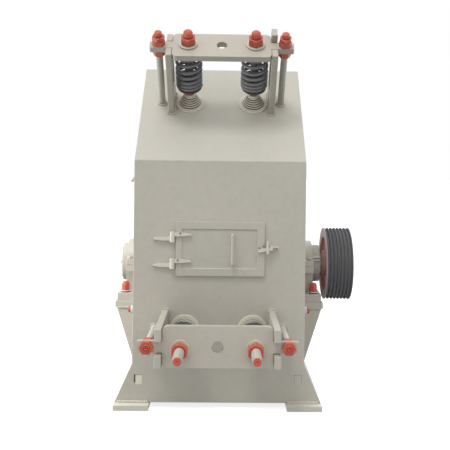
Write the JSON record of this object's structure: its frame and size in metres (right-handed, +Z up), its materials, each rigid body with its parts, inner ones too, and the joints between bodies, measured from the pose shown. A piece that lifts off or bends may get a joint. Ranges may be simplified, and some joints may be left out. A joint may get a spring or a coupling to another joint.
{
  "type": "horizontal-shaft impact crusher",
  "caption": "Rock crusher with a belt-driven rotor in a welded plate housing, an inspection door and spring-loaded impact curtains on tension rods.",
  "frame": {"origin": "ground level under the rotor axis, at the middle of the anchor bolt pattern", "axes": "+Z up, +X along the rotor axis towards the belt pulley, -Y towards the inspection door and the spring sets"},
  "size_m": [1.272, 1.766, 1.8243],
  "materials": {
    "housing_paint": "warm grey enamel, satin",
    "bearing_paint": "warm grey enamel over a casting, satin",
    "bolt_steel": "plain",
    "nut_paint": "orange-red enamel, satin",
    "shaft_steel": "turned",
    "rotor_steel": "primed, worn",
    "wear_steel": "cast, worn",
    "pulley_iron": "red oxide primer, dark rim",
    "door_paint": "warm grey enamel, satin",
    "set_paint": "warm grey enamel, satin",
    "stud_paint": "grey enamel over thread",
    "rod_paint": "pale grey over thread",
    "spring_black": "black, satin"
  },
  "bodies": {
    "housing": {"door_wall": "housing_paint", "sloped_roof": "housing_paint", "top_plate": "housing_paint", "feed_wall": "housing_paint", "feed_flange": "housing_paint", "feed_plate": "wear_steel", "left_side_wall": "housing_paint", "right_side_wall": "housing_paint", "base_rails": "housing_paint", "left_pedestal": "housing_paint", "right_pedestal": "housing_paint", "side_lug": "housing_paint", "left_bearing_base": "bearing_paint", "right_bearing_base": "bearing_paint", "left_bearing_cap": "bearing_paint", "right_bearing_cap": "bearing_paint", "bearing_covers": "bearing_paint", "hold_down_bolts": "bolt_steel", "hold_down_nuts": "nut_paint", "hinge_straps": "door_paint", "latch_keeper": "door_paint", "upper_forks": "set_paint", "lower_forks": "set_paint", "upper_cross_plate": "set_paint", "lower_cross_plate": "set_paint", "studs": "stud_paint", "stud_nuts": "nut_paint", "rod_washers": "set_paint", "rod_seals": "set_paint", "upper_springs": "spring_black", "lower_springs": "spring_black", "curtain_pivots": "shaft_steel"},
    "door": {"door_leaf": "door_paint", "door_straps": "door_paint", "door_handle": "door_paint", "door_latch": "door_paint"},
    "rotor": {"shaft": "shaft_steel", "rotor_body": "rotor_steel", "blow_bars": "wear_steel", "pulley": "pulley_iron"},
    "upper_rod_pair": {"upper_rods": "rod_paint", "upper_rod_nuts": "nut_paint", "upper_spring_seats": "spring_black"},
    "lower_rod_pair": {"lower_rods": "rod_paint", "lower_rod_nuts": "nut_paint", "lower_spring_seats": "spring_black"},
    "upper_impact_curtain": {"upper_curtain": "wear_steel"},
    "lower_impact_curtain": {"lower_curtain": "wear_steel"}
  },
  "joints": [
    {"name": "door_hinge", "type": "hinge", "parent": "housing", "child": "door", "pos_m": [-0.224, -0.66, 0.76], "axis": [0, 0, -1], "range_deg": [0, 150]},
    {"name": "rotor_spin", "type": "hinge", "parent": "housing", "child": "rotor", "pos_m": [0, 0, 0.608], "axis": [1, 0, 0], "continuous": true},
    {"name": "upper_rod_slide", "type": "slide", "parent": "housing", "child": "upper_rod_pair", "axis": [0, -0.7071, 0.7071], "range_m": [0, 0.05], "stiffness_N_per_m": 1800000, "springref_m": -0.004, "deforming": ["upper_springs"]},
    {"name": "lower_rod_slide", "type": "slide", "parent": "housing", "child": "lower_rod_pair", "axis": [0, -1, 0], "range_m": [0, 0.05], "stiffness_N_per_m": 1800000, "springref_m": -0.004, "deforming": ["lower_springs"]},
    {"name": "upper_curtain_swing", "type": "hinge", "parent": "housing", "child": "upper_impact_curtain", "pos_m": [0, -0.0927, 1.58671], "axis": [-1, 0, 0], "range_deg": [0, 11]},
    {"name": "lower_curtain_swing", "type": "hinge", "parent": "housing", "child": "lower_impact_curtain", "pos_m": [0, -0.53, 1.11], "axis": [-1, 0, 0], "range_deg": [0, 4]}
  ],
  "couplings": [
    {"joint": "upper_curtain_swing", "follows": "upper_rod_slide", "rad_per_m": 3.8107},
    {"joint": "lower_curtain_swing", "follows": "lower_rod_slide", "rad_per_m": 1.3524}
  ]
}
